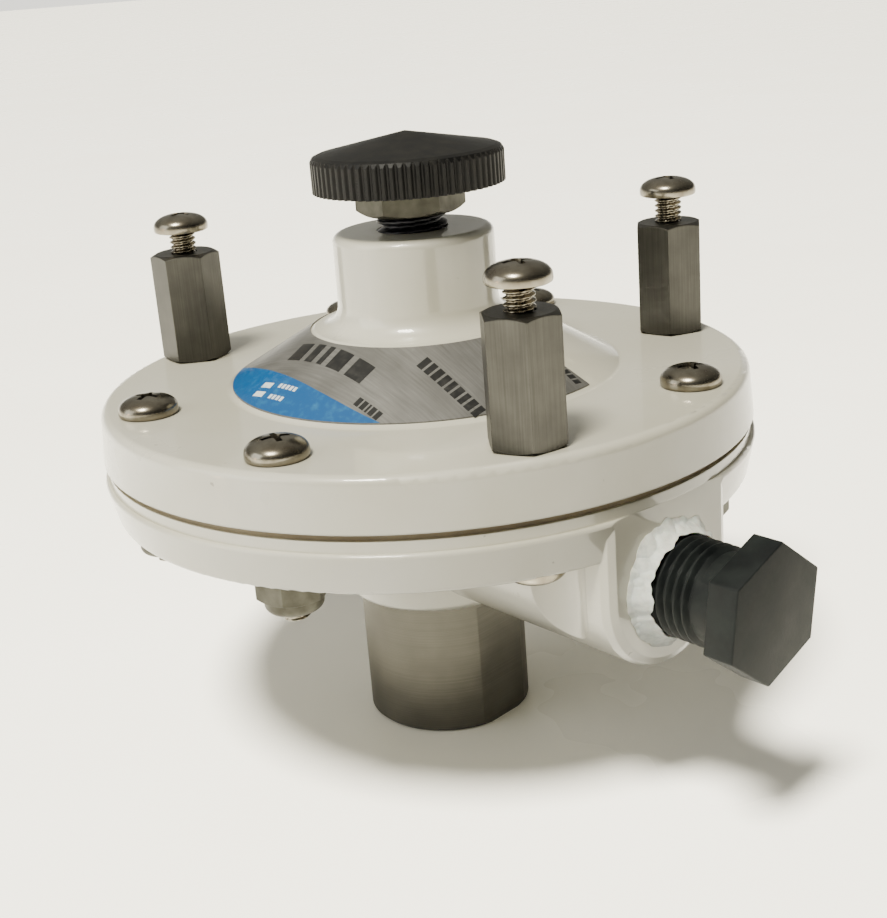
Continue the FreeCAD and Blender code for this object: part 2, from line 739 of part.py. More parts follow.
# ---------------------------------------------------------------- outlet plug and its tape
# Moulded taper-thread plug, its own Z axis along the outlet, placed to point along +X.
plug = new_body("outlet_plug")
ridge_pitch = 1.41
plug_points = [("0", "boss_reach - 9"), ("plug_thread - 0.9", "boss_reach - 9")]
for ridge in range(12):
    foot = f"boss_reach - 8.6 + {ridge * ridge_pitch:.2f}"
    plug_points += [
        ("plug_thread - 0.7", foot),
        ("plug_thread - 0.02", f"{foot} + 0.62"),
        ("plug_thread - 0.02", f"{foot} + 0.78"),
    ]
plug_points += [
    ("plug_neck", "boss_reach + 8.6"),
    ("plug_neck", "plug_hex_back + 0.5"),
    ("0", "plug_hex_back + 0.5"),
]
turn(plug, "thread", plug_points)
plug_hex = new_sketch(plug, "hex", "XY_Plane", "plug_hex_back")
hexagon(plug_hex, "plug_flats")
pad(plug, "hex_pad", plug_hex, "plug_hex_front - plug_hex_back")
tape = new_body("thread_tape")
turn(tape, "wrap", [
    ("plug_thread", "boss_reach"),
    ("plug_thread + 1.7", "boss_reach"),
    ("plug_thread + 1.5", "boss_reach + 1"),
    ("plug_thread + 0.6", "boss_reach + 2"),
    ("plug_thread", "boss_reach + 2"),
])
along_x = FreeCAD.Rotation(FreeCAD.Vector(0, 1, 0), 90)
plug_twist = FreeCAD.Rotation(FreeCAD.Vector(0, 0, 1), -8.4)
for body in (plug, tape):
    spot = FreeCAD.Vector(0, 0, size("port_height"))
    body.Placement = FreeCAD.Placement(spot, along_x.multiply(plug_twist))

# ---------------------------------------------------------------- checks and export
doc.recompute()
for item in doc.Objects:
    if {"Invalid", "Error"} & set(item.State):
        raise RuntimeError(f"{item.Label} failed: {item.State}")

os.makedirs("parts", exist_ok=True)
nodes = [o for o in doc.Objects if o.TypeId == "PartDesign::Body" or o is nameplate]
for node in nodes:
    if node.Shape.isNull() or not node.Shape.isValid() or not node.Shape.Solids:
        raise RuntimeError(f"{node.Label} has no valid solid")
    node.Shape.exportStep(f"parts/{node.Label}.step")
print(f"{len(nodes)} parts written")
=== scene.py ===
import math

import bmesh
import bpy
from mathutils import Matrix, Vector, noise


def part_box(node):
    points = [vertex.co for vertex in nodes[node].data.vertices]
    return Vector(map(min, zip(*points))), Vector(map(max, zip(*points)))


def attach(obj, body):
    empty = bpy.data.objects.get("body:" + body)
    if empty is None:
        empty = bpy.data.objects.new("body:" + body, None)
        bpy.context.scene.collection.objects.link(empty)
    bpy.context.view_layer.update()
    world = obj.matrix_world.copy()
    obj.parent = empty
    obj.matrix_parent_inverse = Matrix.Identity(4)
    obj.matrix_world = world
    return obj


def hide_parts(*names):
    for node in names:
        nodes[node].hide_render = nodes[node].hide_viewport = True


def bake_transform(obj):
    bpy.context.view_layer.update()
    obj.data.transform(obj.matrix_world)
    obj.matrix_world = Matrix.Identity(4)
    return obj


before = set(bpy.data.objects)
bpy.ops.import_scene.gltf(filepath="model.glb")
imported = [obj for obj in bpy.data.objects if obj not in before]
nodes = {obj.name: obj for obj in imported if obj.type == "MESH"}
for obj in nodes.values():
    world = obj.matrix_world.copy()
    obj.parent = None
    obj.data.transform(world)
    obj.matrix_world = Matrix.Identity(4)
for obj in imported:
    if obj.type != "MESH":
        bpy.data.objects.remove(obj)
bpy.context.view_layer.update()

# ---------------------------------------------------------------- castings
# The cover and the lower casing are die-cast zinc under white stoving enamel, with the eight
# screw holes left bare.  They meet on the diaphragm and are drawn together by eight screws.


def linear(code):
    """The linear colour of an sRGB hex value."""
    parts = [int(code[i:i + 2], 16) / 255 for i in (1, 3, 5)]
    return [p / 12.92 if p <= 0.04045 else ((p + 0.055) / 1.055) ** 2.4 for p in parts] + [1.0]


def add(tree, kind, links=(), stops=(), **settings):
    """Adds a node.  links gives its inputs values, nodes (their first output) or outputs."""
    made = tree.nodes.new(kind)
    for name, value in settings.items():
        setattr(made, name, value)
    for name, value in dict(links).items():
        if isinstance(value, bpy.types.Node):
            value = value.outputs[0]
        if isinstance(value, bpy.types.NodeSocket):
            tree.links.new(value, made.inputs[name])
        else:
            made.inputs[name].default_value = value
    for number, (place, colour) in enumerate(stops):
        marks = made.color_ramp.elements
        mark = marks[number] if number < 2 else marks.new(place)
        mark.position, mark.color = place, colour
    return made


def finish(name):
    """A new material's own tree, empty."""
    material = bpy.data.materials.new(name)
    material.use_nodes = True
    material.node_tree.nodes.clear()
    return material, material.node_tree


def dress(material, *names):
    """Gives CAD nodes a material."""
    for name in names:
        for slot in range(len(nodes[name].data.materials)):
            nodes[name].data.materials[slot] = material


# Stoving enamel, sprayed and baked: a hard gloss with a faint orange peel.  In the corners it is
# darkened towards yellowed grime by an occlusion mask, partly real grime and partly painted shade.
PEEL = 1.6e-3
ENAMEL_WHITE, ENAMEL_WARM, GRIME_AND_SHADE = "#d6d3c3", "#cbc7b3", "#8f8360"
enamel, tree = finish("zinc_casting_stoved_enamel")
spot = add(tree, "ShaderNodeTexCoord").outputs["Object"]
clouds = add(tree, "ShaderNodeTexNoise", {"Vector": spot, "Scale": 1 / 24e-3, "Detail": 5})
base = add(tree, "ShaderNodeValToRGB", {"Fac": clouds},
           [(0.38, linear(ENAMEL_WHITE)), (0.72, linear(ENAMEL_WARM))])
# Painted shade with some real grime: an occlusion mask darkens corners and creases, in patches,
# towards the grime colour.
crevice = add(tree, "ShaderNodeAmbientOcclusion", {"Distance": 3.2e-3}, samples=8)
crevice_shade = add(tree, "ShaderNodeMapRange",
              {"Value": crevice.outputs["AO"], "From Min": 0.62, "From Max": 0.25,
               "To Min": 0.0, "To Max": 1.0})
patchy = add(tree, "ShaderNodeTexNoise", {"Vector": spot, "Scale": 1 / 5e-3, "Detail": 6})
grime_and_shade = add(tree, "ShaderNodeMath", {0: crevice_shade, 1: patchy}, operation="MULTIPLY")
grimed_and_shaded = add(tree, "ShaderNodeMix", {0: grime_and_shade, 6: base, 7: linear(GRIME_AND_SHADE)}, data_type="RGBA")
fleck = add(tree, "ShaderNodeTexNoise", {"Vector": spot, "Scale": 1 / 1.5e-3, "Detail": 2})
flecks = add(tree, "ShaderNodeMapRange",
             {"Value": fleck, "From Min": 0.76, "From Max": 0.8, "To Max": 0.55})
speckled = add(tree, "ShaderNodeMix",
               {0: flecks, 6: grimed_and_shaded.outputs[2], 7: linear("#77705c")}, data_type="RGBA")
shine = add(tree, "ShaderNodeMapRange",
            {"Value": clouds, "From Min": 0.3, "From Max": 0.7, "To Min": 0.26, "To Max": 0.38})
peel = add(tree, "ShaderNodeTexNoise", {"Vector": spot, "Scale": 1 / PEEL, "Detail": 1.5})
softened = add(tree, "ShaderNodeBevel", {"Radius": 3.5e-4}, samples=4)
bumped = add(tree, "ShaderNodeBump",
             {"Height": peel, "Normal": softened, "Strength": 0.35, "Distance": 3e-5})
add(tree, "ShaderNodeOutputMaterial", {"Surface": add(tree, "ShaderNodeBsdfPrincipled", {
    "Base Color": speckled.outputs[2], "Roughness": shine, "Normal": bumped, "IOR": 1.5,
    "Coat Weight": 0.8, "Coat Roughness": 0.06})})
dress(enamel, "upper_cover", "lower_casing")

# ---------------------------------------------------------------- diaphragm
# Nitrile rubber on woven cloth, calendered to a sheet and cut round: its edge shows between
# the castings as a thin matt line, brown with the dust that it holds.
rubber, tree = finish("nitrile_rubber_calendered")
spot = add(tree, "ShaderNodeTexCoord").outputs["Object"]
dust = add(tree, "ShaderNodeTexNoise", {"Vector": spot, "Scale": 1 / 9e-3, "Detail": 3})
tone = add(tree, "ShaderNodeValToRGB", {"Fac": dust},
           [(0.35, linear("#8b7e68")), (0.75, linear("#a4977d"))])
cloth = add(tree, "ShaderNodeTexVoronoi", {"Vector": spot, "Scale": 1 / 0.6e-3})
bumped = add(tree, "ShaderNodeBump", {"Height": cloth, "Strength": 0.4, "Distance": 5e-5})
add(tree, "ShaderNodeOutputMaterial", {"Surface": add(tree, "ShaderNodeBsdfPrincipled", {
    "Base Color": tone, "Roughness": 0.82, "Normal": bumped, "IOR": 1.52})})
dress(rubber, "diaphragm", "valve_disc")

# In the real part the rim is clamped and the middle rides with the plates, so only the ring between
# them bends.
# Here the sheet is a flat copy of the CAD part: each point's share of that ring is worked out, but
# it is not bent.
STILL_FROM, MOVES_WITHIN = 32.2e-3, 22.5e-3
cad_sheet = nodes["diaphragm"]
diaphragm = bpy.data.objects.new("diaphragm_sheet", cad_sheet.data.copy())
diaphragm.matrix_world = cad_sheet.matrix_world
bpy.context.scene.collection.objects.link(diaphragm)
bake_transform(diaphragm)
for vertex in diaphragm.data.vertices:
    inward = (STILL_FROM - math.hypot(vertex.co.x, vertex.co.y)) / (STILL_FROM - MOVES_WITHIN)
    inward = min(1.0, max(0.0, inward))
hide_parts("diaphragm")

# ---------------------------------------------------------------- nameplate
# A strip of satin aluminium foil, printed and stuck round the cover's cone.  It is a polar
# grid with a slightly wavy skin; the printing is a film of ink on top, in plain shapes.
MM = 1e-3


def piece(name, points, faces, material, sharp=32):
    """An object from points in millimetres, its normals outward and its creases kept."""
    mesh = bpy.data.meshes.new(name)
    mesh.from_pydata([Vector(p) * MM for p in points], [], faces)
    tidy = bmesh.new()
    tidy.from_mesh(mesh)
    bmesh.ops.recalc_face_normals(tidy, faces=tidy.faces)
    tidy.to_mesh(mesh)
    tidy.free()
    mesh.shade_smooth()
    mesh.set_sharp_from_angle(angle=math.radians(sharp))
    mesh.materials.append(material)
    made = bpy.data.objects.new(name, mesh)
    bpy.context.scene.collection.objects.link(made)
    return made


foil_low, foil_high = (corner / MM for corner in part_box("nameplate"))
FOIL_INNER, FOIL_OUTER, FOIL_THICK = 16.5, 28.95, 0.2
FOIL_FROM, FOIL_TO = -159.5, 13.0
slope = (foil_high.z - foil_low.z - FOIL_THICK * 1.15) / (FOIL_OUTER - FOIL_INNER)


def on_cone(x, y, above):
    """A point over the cone's paint, above it by a height in millimetres."""
    reach = math.hypot(x, y)
    ripple = 0.04 * noise.noise(Vector((x * 0.28, y * 0.28, 3.1)))
    return x, y, foil_low.z + slope * (FOIL_OUTER - reach) + above + max(0.0, above) * ripple * 3


def patch(rows, low, high):
    """Points and faces of a thin closed film over the cone, from rows of (x, y) places."""
    points = [on_cone(x, y, low) for row in rows for x, y in row]
    points += [on_cone(x, y, high) for row in rows for x, y in row]
    wide, tall = len(rows[0]), len(rows)
    top = wide * tall
    faces = []
    for j in range(tall - 1):
        for i in range(wide - 1):
            a, b = j * wide + i, (j + 1) * wide + i
            faces += [(a, a + 1, b + 1, b), (top + a, top + b, top + b + 1, top + a + 1)]
    rim = [i for i in range(wide)] + [j * wide + wide - 1 for j in range(1, tall)]
    rim += [top - 1 - i for i in range(1, wide)] + [j * wide for j in range(tall - 2, 0, -1)]
    for a, b in zip(rim, rim[1:] + rim[:1]):
        faces.append((a, top + a, top + b, b))
    return points, faces


def polar(radius, degrees):
    return radius * math.cos(math.radians(degrees)), radius * math.sin(math.radians(degrees))


# Rolled aluminium foil with a satin lacquer: soft wide highlights, fine grain along the roll.
foil, tree = finish("aluminium_foil_satin_lacquered")
spot = add(tree, "ShaderNodeTexCoord").outputs["Object"]
grain_at = add(tree, "ShaderNodeMapping", {"Vector": spot, "Scale": (180, 3200, 180)})
grain = add(tree, "ShaderNodeTexNoise", {"Vector": grain_at, "Scale": 1.0, "Detail": 4})
blotch = add(tree, "ShaderNodeTexNoise", {"Vector": spot, "Scale": 1 / 6e-3, "Detail": 6})
both = add(tree, "ShaderNodeMath", {0: grain, 1: blotch}, operation="MULTIPLY")
tone = add(tree, "ShaderNodeValToRGB", {"Fac": both},
           [(0.05, linear("#62615d")), (0.5, linear("#868581"))])
rough = add(tree, "ShaderNodeMapRange", {"Value": blotch, "To Min": 0.42, "To Max": 0.62})
bumped = add(tree, "ShaderNodeBump", {"Height": grain, "Strength": 0.3, "Distance": 2e-5})
add(tree, "ShaderNodeOutputMaterial", {"Surface": add(tree, "ShaderNodeBsdfPrincipled", {
    "Base Color": tone, "Metallic": 0.55, "Roughness": rough, "Normal": bumped,
    "Coat Weight": 0.25, "Coat Roughness": 0.2})})
angles = [FOIL_FROM + (FOIL_TO - FOIL_FROM) * i / 172 for i in range(173)]
radii = [FOIL_INNER + (FOIL_OUTER - FOIL_INNER) * j / 14 for j in range(15)]
rows = [[polar(r, a) for a in angles] for r in radii]
nameplate = piece("nameplate_foil", *patch(rows, 0.0, FOIL_THICK), foil)
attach(nameplate, "casing")
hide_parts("nameplate")


def ink(name, colour, worn):
    """Screen ink, one flat colour that has dulled and rubbed thin in places."""
    material, tree = finish(name)
    spot = add(tree, "ShaderNodeTexCoord").outputs["Object"]
    rub = add(tree, "ShaderNodeTexNoise", {"Vector": spot, "Scale": 1 / 1.1e-3, "Detail": 8})
    tone = add(tree, "ShaderNodeValToRGB", {"Fac": rub},
               [(0.5, linear(colour)), (0.78, linear(worn))])
    rough = add(tree, "ShaderNodeMapRange", {"Value": rub, "To Min": 0.3, "To Max": 0.6})
    bumped = add(tree, "ShaderNodeBump", {"Height": rub, "Strength": 0.2, "Distance": 1e-5})
    add(tree, "ShaderNodeOutputMaterial", {"Surface": add(tree, "ShaderNodeBsdfPrincipled", {
        "Base Color": tone, "Roughness": rough, "Normal": bumped, "IOR": 1.48,
        "Coat Weight": 0.2, "Coat Roughness": 0.15})})
    return material


INK_LOW, INK_HIGH = FOIL_THICK - 0.02, FOIL_THICK + 0.03
# A plain blue field on the outer edge, half as deep in its middle as the strip.
FIELD_MIDDLE, FIELD_HALF, FIELD_DEPTH = -97.6, 45.0, 5.7
field_edge = FOIL_OUTER - 0.06
rows = []
for j in range(9):
    row = []
    for i in range(91):
        off = -1 + 2 * i / 90
        deep = FIELD_DEPTH * (1 - off * off) + 0.02
        row.append(polar(field_edge - deep * (1 - j / 8), FIELD_MIDDLE + FIELD_HALF * off))
    rows.append(row)
field = piece("nameplate_blue_field", *patch(rows, INK_LOW, INK_HIGH),
              ink("screen_ink_blue", "#00508a", "#1a6a9c"))
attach(field, "casing")


def bars(places, low, high):
    """Thin films with straight sides, each given as (x, y, length, height), all along X."""
    points, faces = [], []
    for x, y, length, height in places:
        steps = max(2, round(length / 0.4))
        rows = [[(x + length * i / steps, y + height * j / 4) for i in range(steps + 1)]
                for j in range(5)]
        more, closed = patch(rows, low, high)
        faces += [tuple(len(points) + k for k in face) for face in closed]
        points += more
    return points, faces


# Where a maker prints words there are rows of plain blocks, which say nothing.
def blocks(x, y, height, lengths, gap):
    row = []
    for length in lengths:
        row.append((x, y, length, height))
        x += length + gap
    return row


black_print = (
    blocks(-6.6, -20.2, 3.1, (3.0, 1.7, 1.1, 3.0, 3.4), 1.15)
    + blocks(12.1, -23.0, 1.35, (0.8, 0.8, 0.35, 0.8, 0.8), 0.3)
    + blocks(14.6, -13.4, 2.1, (1.0, 0.9, 1.0, 0.95, 0.8, 1.0, 0.8, 1.0, 0.9), 0.38)
    + blocks(24.1, 4.2, 1.2, (0.7, 0.7, 0.7, 0.7), 0.3)
)
print_black = piece("nameplate_black_blocks", *bars(black_print, INK_LOW, INK_HIGH),
                    ink("screen_ink_black", "#0c0c0b", "#2c2b28"))
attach(print_black, "casing")
white_print = ([(-6.4, -25.4, 2.3, 0.9), (-6.4, -27.0, 2.3, 0.9)]
               + blocks(-2.6, -25.1, 0.7, (0.6, 0.6, 0.6, 0.6, 0.6), 0.28)
               + blocks(-2.6, -27.0, 0.7, (0.6, 0.6, 0.6, 0.6), 0.28))
print_white = piece("nameplate_white_bars", *bars(white_print, INK_HIGH - 0.01, INK_HIGH + 0.03),
                    ink("screen_ink_white", "#dfe6e8", "#9dbbd0"))
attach(print_white, "casing")

# ---------------------------------------------------------------- screws
# Number 8 pan-head machine screws with a cross recess, cold-headed from stainless wire and
# rolled thread.  Five close the flange, three hold the standoffs and three wait on top.


def turned(rows, steps):
    """A solid turned about Z from (height, radius) rows; a radius may be a function of the angle."""
    points, rings, faces = [], [], []
    for height, radius in rows:
        ring = []
        for i in range(steps if radius else 1):
            angle = math.tau * i / steps
            r = radius(angle) if callable(radius) else radius
            ring.append(len(points))
            points.append((r * math.cos(angle), r * math.sin(angle), height))
        rings.append(ring)
    for low, high in zip(rings, rings[1:]):
        for i in range(steps):
            j = (i + 1) % steps
            a, b = low[i % len(low)], low[j % len(low)]
            c, d = high[j % len(high)], high[i % len(high)]
            faces.append(tuple(dict.fromkeys((a, b, c, d))))
    return points, faces


FLANK_FOOT, FLANK_SPAN = 0.40, 0.30


def thread(root, crest, pitch, height):
    """Radius round a right-hand thread at one height, as a function of the angle."""
    def radius(angle):
        away = abs((height / pitch - angle / math.tau) % 1.0 - 0.5)
        return root + (crest - root) * min(1.0, max(0.0, (FLANK_FOOT - away) / FLANK_SPAN))
    return radius


def settle(made, sharp=32):
    """Applies an object's modifiers and marks its creases again."""
    bpy.context.view_layer.update()
    shaped = bpy.data.meshes.new_from_object(
        made.evaluated_get(bpy.context.evaluated_depsgraph_get()))
    made.modifiers.clear()
    made.data = shaped
    shaped.shade_smooth()
    shaped.set_sharp_from_angle(angle=math.radians(sharp))


def join(made, tool, operation):
    """Cuts or adds a tool solid, which is then thrown away."""
    step = made.modifiers.new(operation, "BOOLEAN")
    step.operation, step.object, step.solver = operation, tool, "EXACT"
    settle(made)
    bpy.data.objects.remove(tool)


# Stainless steel, cold-headed and tumbled bright: dark mirror tones with painted brown shade in the
# recess.
bright, tree = finish("stainless_steel_cold_headed")
spot = add(tree, "ShaderNodeTexCoord").outputs["Object"]
smear = add(tree, "ShaderNodeTexNoise", {"Vector": spot, "Scale": 1 / 2.2e-3, "Detail": 7})
tone = add(tree, "ShaderNodeValToRGB", {"Fac": smear},
           [(0.35, linear("#8f8a7d")), (0.7, linear("#6f685b"))])
# Painted shade: an occlusion mask darkens the recess and the underside of the head towards dark
# brown.
hollow = add(tree, "ShaderNodeAmbientOcclusion", {"Distance": 1.2e-3}, samples=8)
recess_shade_share = add(tree, "ShaderNodeMapRange",
           {"Value": hollow.outputs["AO"], "From Min": 0.75, "From Max": 0.2, "To Max": 0.85})
recess_shade = add(tree, "ShaderNodeMix",
              {0: recess_shade_share, 6: tone, 7: linear("#3b3124")}, data_type="RGBA")
rough = add(tree, "ShaderNodeMapRange", {"Value": smear, "To Min": 0.14, "To Max": 0.34})
pits = add(tree, "ShaderNodeTexNoise", {"Vector": spot, "Scale": 1 / 0.5e-3, "Detail": 3})
bumped = add(tree, "ShaderNodeBump", {"Height": pits, "Strength": 0.25, "Distance": 1.5e-5})
add(tree, "ShaderNodeOutputMaterial", {"Surface": add(tree, "ShaderNodeBsdfPrincipled", {
    "Base Color": recess_shade.outputs[2], "Metallic": 1.0, "Roughness": rough, "Normal": bumped})})

HEAD_RADIUS, HEAD_HEIGHT, SHANK_RADIUS, SHANK_ROOT, SCREW_PITCH = 4.3, 2.8, 2.06, 1.62, 0.79
HEAD_EDGE, CROWN_RISE, CROWN_SPREAD = 0.75, 0.9, 0.86
CROSS_TOP, CROSS_FOOT, CROSS_DEPTH = (2.35, 0.46, 0.8), (0.9, 0.26, 0.42), 1.9


def pan_screw(name, length):
    """The screw's head rests on z = 0 and its shank runs down from there."""
    rows = [(HEAD_HEIGHT, 0)]
    for i in range(1, 15):
        around = math.radians(90 * i / 14)
        rows.append((HEAD_EDGE + (HEAD_HEIGHT - HEAD_EDGE) * math.cos(around) ** CROWN_RISE,
                     HEAD_RADIUS * math.sin(around) ** CROWN_SPREAD))
    rows += [(0.35, HEAD_RADIUS), (0.12, HEAD_RADIUS - 0.08), (0.0, HEAD_RADIUS - 0.3)]
    rows += [(0.0, SHANK_RADIUS + 0.25), (-0.25, SHANK_RADIUS - 0.1)]
    step = SCREW_PITCH / 10
    for i in range(1, int((length - 0.3) / step)):
        z = -0.25 - i * step
        tip = min(1.0, 0.62 + (length + z) * 0.6)
        rows.append((z, thread(SHANK_ROOT * tip, SHANK_RADIUS * tip, SCREW_PITCH, z)))
    rows += [(-length, SHANK_ROOT * 0.6), (-length, 0)]
    made = piece(name, *turned(rows, 56), bright)
    points = []
    for z, (arm, wide, waist) in ((HEAD_HEIGHT + 0.6, CROSS_TOP),
                                  (HEAD_HEIGHT - CROSS_DEPTH, CROSS_FOOT)):
        for quarter in range(4):
            turn = Matrix.Rotation(quarter * math.pi / 2, 3, "Z")
            for x, y in ((waist, -wide), (arm, -wide), (arm, wide), (waist, wide)):
                points.append(turn @ Vector((x, y, z)))
    sides = [(i, (i + 1) % 16, 16 + (i + 1) % 16, 16 + i) for i in range(16)]
    tool = piece("cross_tool", points, sides + [tuple(range(16)), tuple(range(31, 15, -1))],
                 bright)
    join(made, tool, "DIFFERENCE")
    return made


HEAD_UP, HEAD_DOWN = 1, -1
for kind, count, side in (("flange_screw", 5, HEAD_UP), ("standoff_screw", 3, HEAD_UP),
                          ("under_screw", 3, HEAD_DOWN)):
    first_low, first_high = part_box(f"{kind}_1")
    pattern = pan_screw(f"{kind}_pattern", (first_high.z - first_low.z) / MM - HEAD_HEIGHT)
    for number in range(1, count + 1):
        low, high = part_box(f"{kind}_{number}")
        made = bpy.data.objects.new(f"{kind}_{number}_threaded", pattern.data)
        bpy.context.scene.collection.objects.link(made)
        head = high.z - HEAD_HEIGHT * MM if side == HEAD_UP else low.z + HEAD_HEIGHT * MM
        flip = Matrix.Rotation(0 if side == HEAD_UP else math.pi, 4, "X")
        spin = Matrix.Rotation(math.radians(17 + 47 * number), 4, "Z")
        middle = (low + high) / 2
        made.matrix_world = Matrix.Translation((middle.x, middle.y, head)) @ flip @ spin
        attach(made, "casing")
        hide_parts(f"{kind}_{number}")
    bpy.data.objects.remove(pattern)


# ---------------------------------------------------------------- standoffs
# Three posts cut from cold-drawn hexagonal stainless bar, faced and chamfered in a lathe, and
# tapped right through.  They stand on the cover, each on the end of a screw from below.
drawn, tree = finish("stainless_steel_drawn_bar")
spot = add(tree, "ShaderNodeTexCoord").outputs["Object"]
along = add(tree, "ShaderNodeMapping", {"Vector": spot, "Scale": (4200, 4200, 90)})
streak = add(tree, "ShaderNodeTexNoise", {"Vector": along, "Scale": 1.0, "Detail": 5})
cloud = add(tree, "ShaderNodeTexNoise", {"Vector": spot, "Scale": 1 / 5e-3, "Detail": 5})
both = add(tree, "ShaderNodeMath", {0: streak, 1: cloud}, operation="MULTIPLY")
tone = add(tree, "ShaderNodeValToRGB", {"Fac": both},
           [(0.05, linear("#3c3b38")), (0.5, linear("#575651"))])
rough = add(tree, "ShaderNodeMapRange", {"Value": streak, "To Min": 0.3, "To Max": 0.52})
softened = add(tree, "ShaderNodeBevel", {"Radius": 1.8e-4}, samples=4)
bumped = add(tree, "ShaderNodeBump",
             {"Height": streak, "Normal": softened, "Strength": 0.35, "Distance": 1.5e-5})
add(tree, "ShaderNodeOutputMaterial", {"Surface": add(tree, "ShaderNodeBsdfPrincipled", {
    "Base Color": tone, "Metallic": 1.0, "Roughness": rough, "Normal": bumped,
    "Anisotropic": 0.3})})
dress(drawn, "standoff_1", "standoff_2", "standoff_3")

# ---------------------------------------------------------------- inlet fitting
# A barrel turned from round stainless bar, with two milled wrench flats.  It screws into the
# casing's hub, and the tool's fine rings round it blur what it reflects into upright bands.
ringed, tree = finish("stainless_steel_turned")
spot = add(tree, "ShaderNodeTexCoord").outputs["Object"]
across = add(tree, "ShaderNodeMapping", {"Vector": spot, "Scale": (12, 12, 9000)})
rings = add(tree, "ShaderNodeTexNoise", {"Vector": across, "Scale": 1.0, "Detail": 4})
cloud = add(tree, "ShaderNodeTexNoise", {"Vector": spot, "Scale": 1 / 7e-3, "Detail": 6})
both = add(tree, "ShaderNodeMath", {0: rings, 1: cloud}, operation="MULTIPLY")
tone = add(tree, "ShaderNodeValToRGB", {"Fac": both},
           [(0.05, linear("#4a4842")), (0.5, linear("#67655c"))])
rough = add(tree, "ShaderNodeMapRange", {"Value": cloud, "To Min": 0.42, "To Max": 0.58})
softened = add(tree, "ShaderNodeBevel", {"Radius": 2.5e-4}, samples=4)
bumped = add(tree, "ShaderNodeBump",
             {"Height": rings, "Normal": softened, "Strength": 0.3, "Distance": 1.5e-5})
add(tree, "ShaderNodeOutputMaterial", {"Surface": add(tree, "ShaderNodeBsdfPrincipled", {
    "Base Color": tone, "Metallic": 0.8, "Roughness": rough, "Normal": bumped,
    "Anisotropic": 0.75})})
dress(ringed, "inlet_fitting")

# ---------------------------------------------------------------- valve and diaphragm parts
# Small turned, pressed and wound parts inside: a brass seat and poppet, zinc-plated plates
# with their bolt and nut, and two springs of drawn wire.
brass, tree = finish("brass_turned")
spot = add(tree, "ShaderNodeTexCoord").outputs["Object"]
across = add(tree, "ShaderNodeMapping", {"Vector": spot, "Scale": (40, 40, 6000)})
rings = add(tree, "ShaderNodeTexNoise", {"Vector": across, "Scale": 1.0, "Detail": 3})
tone = add(tree, "ShaderNodeValToRGB", {"Fac": rings},
           [(0.3, linear("#a98a4c")), (0.7, linear("#d8bd7c"))])
bumped = add(tree, "ShaderNodeBump", {"Height": rings, "Strength": 0.3, "Distance": 1.5e-5})
add(tree, "ShaderNodeOutputMaterial", {"Surface": add(tree, "ShaderNodeBsdfPrincipled", {
    "Base Color": tone, "Metallic": 1.0, "Roughness": 0.28, "Normal": bumped})})
dress(brass, "valve_seat", "valve_poppet")

# Zinc plate on pressed steel: a pale, slightly blue grey with soft spangle.
plated, tree = finish("steel_zinc_plated")
spot = add(tree, "ShaderNodeTexCoord").outputs["Object"]
spangle = add(tree, "ShaderNodeTexVoronoi", {"Vector": spot, "Scale": 1 / 1.4e-3})
cloud = add(tree, "ShaderNodeTexNoise", {"Vector": spot, "Scale": 1 / 4e-3, "Detail": 5})
both = add(tree, "ShaderNodeMath", {0: spangle.outputs["Distance"], 1: cloud},
           operation="MULTIPLY")
tone = add(tree, "ShaderNodeValToRGB", {"Fac": both},
           [(0.1, linear("#a8abac")), (0.5, linear("#8b8c88"))])
rough = add(tree, "ShaderNodeMapRange", {"Value": cloud, "To Min": 0.32, "To Max": 0.5})
add(tree, "ShaderNodeOutputMaterial", {"Surface": add(tree, "ShaderNodeBsdfPrincipled", {
    "Base Color": tone, "Metallic": 1.0, "Roughness": rough})})
dress(plated, "lower_plate", "upper_plate", "diaphragm_bolt", "diaphragm_nut", "spring_button",
      "spring_retainer")

# Patented spring wire, drawn and oiled: dark grey with long marks from the die.
wire, tree = finish("spring_steel_drawn_wire")
spot = add(tree, "ShaderNodeTexCoord").outputs["Object"]
marks = add(tree, "ShaderNodeTexNoise", {"Vector": spot, "Scale": 1 / 0.4e-3, "Detail": 3})
tone = add(tree, "ShaderNodeValToRGB", {"Fac": marks},
           [(0.35, linear("#5d5b56")), (0.7, linear("#8a877f"))])
rough = add(tree, "ShaderNodeMapRange", {"Value": marks, "To Min": 0.25, "To Max": 0.45})
add(tree, "ShaderNodeOutputMaterial", {"Surface": add(tree, "ShaderNodeBsdfPrincipled", {
    "Base Color": tone, "Metallic": 1.0, "Roughness": rough})})


COIL_STEPS, COIL_SIDES = 48, 14


def coil(name, node, gauge, turns):
    """A wound spring of the CAD's size, standing where the CAD spring stood."""
    low, high = (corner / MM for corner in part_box(node))
    mean = high.x - gauge
    steps, sides = turns * COIL_STEPS, COIL_SIDES
    points, faces = [], []
    for i in range(steps + 1):
        angle = math.tau * turns * i / steps
        height = low.z + gauge + (high.z - low.z - 2 * gauge) * i / steps
        for j in range(sides):
            around = math.tau * j / sides
            reach = mean + gauge * math.cos(around)
            points.append((reach * math.cos(angle), reach * math.sin(angle),
                           height + gauge * math.sin(around)))
    for i in range(steps):
        for j in range(sides):
            a, b = i * sides + j, i * sides + (j + 1) % sides
            faces.append((a, b, b + sides, a + sides))
    faces += [tuple(range(sides)), tuple(range(steps * sides, (steps + 1) * sides))]
    made = piece(name, points, faces, wire, sharp=60)
    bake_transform(made)
    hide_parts(node)


coil("range_spring_wound", "range_spring", gauge=0.75, turns=5)
coil("valve_spring_wound", "valve_spring", gauge=0.3, turns=4)

